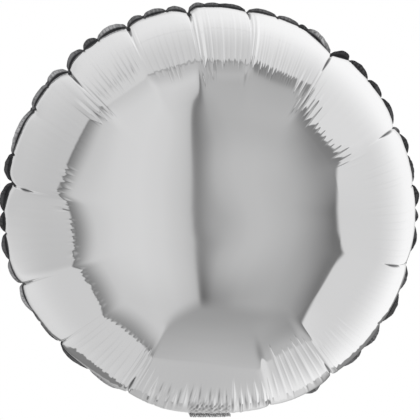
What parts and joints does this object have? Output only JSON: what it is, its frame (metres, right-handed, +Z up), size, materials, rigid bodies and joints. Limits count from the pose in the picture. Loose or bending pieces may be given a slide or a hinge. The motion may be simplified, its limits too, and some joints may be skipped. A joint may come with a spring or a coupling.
{
  "type": "round foil balloon",
  "caption": "Filled round silver foil balloon: two domed film panels welded round a creased rim, with a fold-back filling tail and flat valve.",
  "frame": {"origin": "middle of the filled balloon, in the plane of the welded rim, where the air holds it up", "axes": "+Z up, away from the tail; the front panel faces -Y; +X to the right seen from the front"},
  "size_m": [0.3484, 0.2054, 0.3438],
  "materials": {
    "silver_foil": "mirror-bright metallised film with fine radial wrinkles",
    "welded_foil": null,
    "valve_film": "thin milky plastic film"
  },
  "bodies": {
    "envelope": {"front_panel": "silver_foil", "back_panel": "silver_foil", "edge_seam": "welded_foil", "tail_neck": "welded_foil"},
    "tail": {"tail_fold_crease": "welded_foil", "tail_front_film": "silver_foil", "tail_back_film": "silver_foil", "valve_front_film": "valve_film", "valve_back_film": "valve_film"}
  },
  "joints": [
    {"name": "tail_fold", "type": "hinge", "parent": "envelope", "child": "tail", "pos_m": [0, 0, -0.16885], "axis": [-1, 0, 0], "range_deg": [0, 90]}
  ]
}
